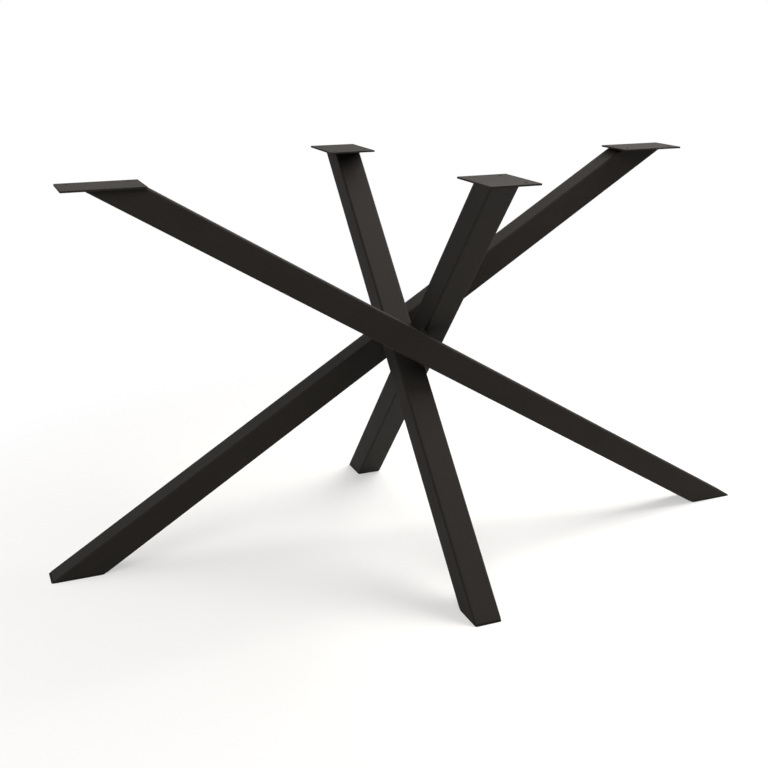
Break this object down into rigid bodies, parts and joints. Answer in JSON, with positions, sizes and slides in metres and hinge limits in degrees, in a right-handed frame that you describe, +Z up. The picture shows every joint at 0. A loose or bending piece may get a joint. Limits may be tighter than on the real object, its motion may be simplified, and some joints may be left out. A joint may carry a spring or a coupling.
{
  "type": "spider table base",
  "caption": "Spider table base of slanting square steel tubes that cross and are welded at the centre, with flat screw plates on top for a table top and capped feet cut level with the floor.",
  "frame": {"origin": "on the floor, under the crossing of the tubes", "axes": "+X along the long tubes, +Y along the short tubes and away from the picture's camera, +Z up"},
  "size_m": [1.353, 0.7888, 0.72],
  "materials": {
    "tube_coat": "satin",
    "plate_coat": "satin",
    "weld_coat": "satin",
    "cap_plastic": "matte"
  },
  "bodies": {
    "root": {"long_tube_front": "tube_coat", "top_plate_left": "plate_coat", "plate_weld_left": "weld_coat", "foot_cap_right": "cap_plastic", "long_tube_back": "tube_coat", "top_plate_right": "plate_coat", "plate_weld_right": "weld_coat", "foot_cap_left": "cap_plastic", "short_tube_right": "tube_coat", "top_plate_front": "plate_coat", "plate_weld_front": "weld_coat", "foot_cap_back": "cap_plastic", "short_tube_left": "tube_coat", "top_plate_back": "plate_coat", "plate_weld_back": "weld_coat", "foot_cap_front": "cap_plastic", "cross_weld_front_upper": "weld_coat", "cross_weld_front_lower": "weld_coat", "cross_weld_back_upper": "weld_coat", "cross_weld_back_lower": "weld_coat", "core_weld_front_upper": "weld_coat", "core_weld_front_lower": "weld_coat", "core_weld_back_upper": "weld_coat", "core_weld_back_lower": "weld_coat"}
  },
  "joints": []
}
